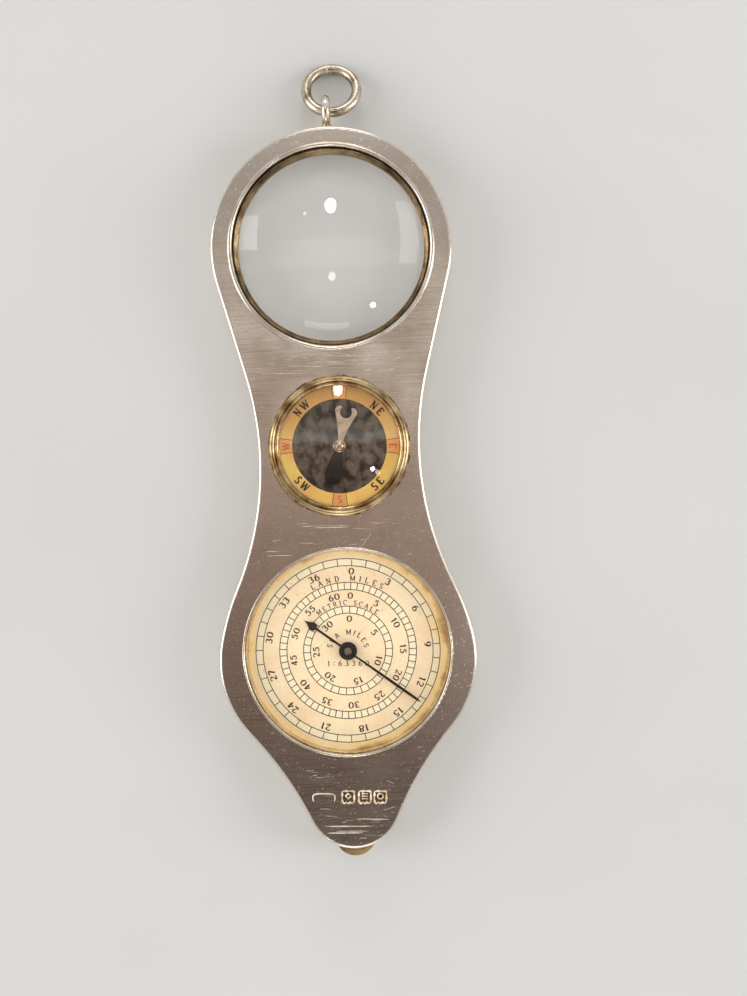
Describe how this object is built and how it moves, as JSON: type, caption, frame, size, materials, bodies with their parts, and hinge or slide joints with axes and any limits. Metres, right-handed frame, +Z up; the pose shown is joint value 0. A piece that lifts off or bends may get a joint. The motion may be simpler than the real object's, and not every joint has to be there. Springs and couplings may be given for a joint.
{
  "type": "map measurer",
  "caption": "Flat metal map measurer: a tracing wheel geared to a dial pointer, with a compass, a reading lens and a pendant ring.",
  "frame": {"origin": "where the pointer's axis meets the flat back of the case", "axes": "+Z up out of the dial, +Y along the case from the tracing wheel towards the lens and the ring"},
  "size_m": [0.041, 0.127, 0.0086],
  "materials": {
    "silver": "rolled silver sheet, worn and lightly scratched",
    "gilt_brass": "turned brass, gilt",
    "optical_glass": "polished",
    "brass": "turned and brushed",
    "steel": "polished",
    "blackened_steel": "blackened",
    "dial_paper": "varnished, browned at the edge",
    "compass_paper": "printed card, varnished",
    "black_lacquer": "gloss black"
  },
  "bodies": {
    "case": {"front_cover": "silver", "back_cover": "silver", "case_screws": "steel", "screw_posts": "silver", "pendant_eyelet": "silver", "lens_collar": "silver", "lens_glass": "optical_glass", "lens_retainer": "gilt_brass", "lens_bezel": "silver", "compass_bowl": "brass", "compass_ground": "black_lacquer", "compass_card": "compass_paper", "compass_distance_ring": "gilt_brass", "compass_pivot": "steel", "compass_crystal": "optical_glass", "compass_bezel": "gilt_brass", "dial_bezel": "silver", "dial_inner_ring": "silver", "dial_crystal": "optical_glass", "dial_plate": "brass", "dial_card": "dial_paper", "movement_front_plate": "brass", "movement_back_plate": "brass", "movement_pillars": "brass", "plate_screws": "steel", "movement_posts": "brass", "movement_screws": "steel", "front_bushes": "brass", "back_bushes": "brass"},
    "pointer_train": {"pointer_hand": "blackened_steel", "centre_wheel": "brass", "centre_arbor": "steel"},
    "second_train": {"second_wheel": "brass", "second_arbor": "steel"},
    "first_train": {"first_wheel": "brass", "first_arbor": "steel"},
    "tracing_train": {"tracing_wheel": "brass", "tracing_arbor": "steel"},
    "needle": {"compass_needle": "steel", "needle_cap": "brass"},
    "ring": {"pendant_ring": "silver"}
  },
  "joints": [
    {"name": "pointer_spin", "type": "hinge", "parent": "case", "child": "pointer_train", "pos_m": [0, 0, 0.0058], "axis": [0, 0, 1], "continuous": true},
    {"name": "second_wheel_spin", "type": "hinge", "parent": "case", "child": "second_train", "pos_m": [0, -0.01346, 0.0029], "axis": [0, 0, 1], "continuous": true},
    {"name": "first_wheel_spin", "type": "hinge", "parent": "case", "child": "first_train", "pos_m": [0, -0.02326, 0.0029], "axis": [0, 0, 1], "continuous": true},
    {"name": "tracing_wheel_spin", "type": "hinge", "parent": "case", "child": "tracing_train", "pos_m": [0, -0.02955, 0.0029], "axis": [0, 0, 1], "continuous": true},
    {"name": "needle_swing", "type": "hinge", "parent": "case", "child": "needle", "pos_m": [0, 0.0327, 0.0061], "axis": [0, 0, 1], "continuous": true},
    {"name": "ring_swing", "type": "hinge", "parent": "case", "child": "ring", "pos_m": [0, 0.086, 0.00375], "axis": [1, 0, 0], "range_deg": [-88, 130]}
  ],
  "couplings": [
    {"joint": "second_wheel_spin", "follows": "pointer_spin", "ratio": -4},
    {"joint": "first_wheel_spin", "follows": "pointer_spin", "ratio": 10},
    {"joint": "tracing_wheel_spin", "follows": "pointer_spin", "ratio": -48}
  ]
}
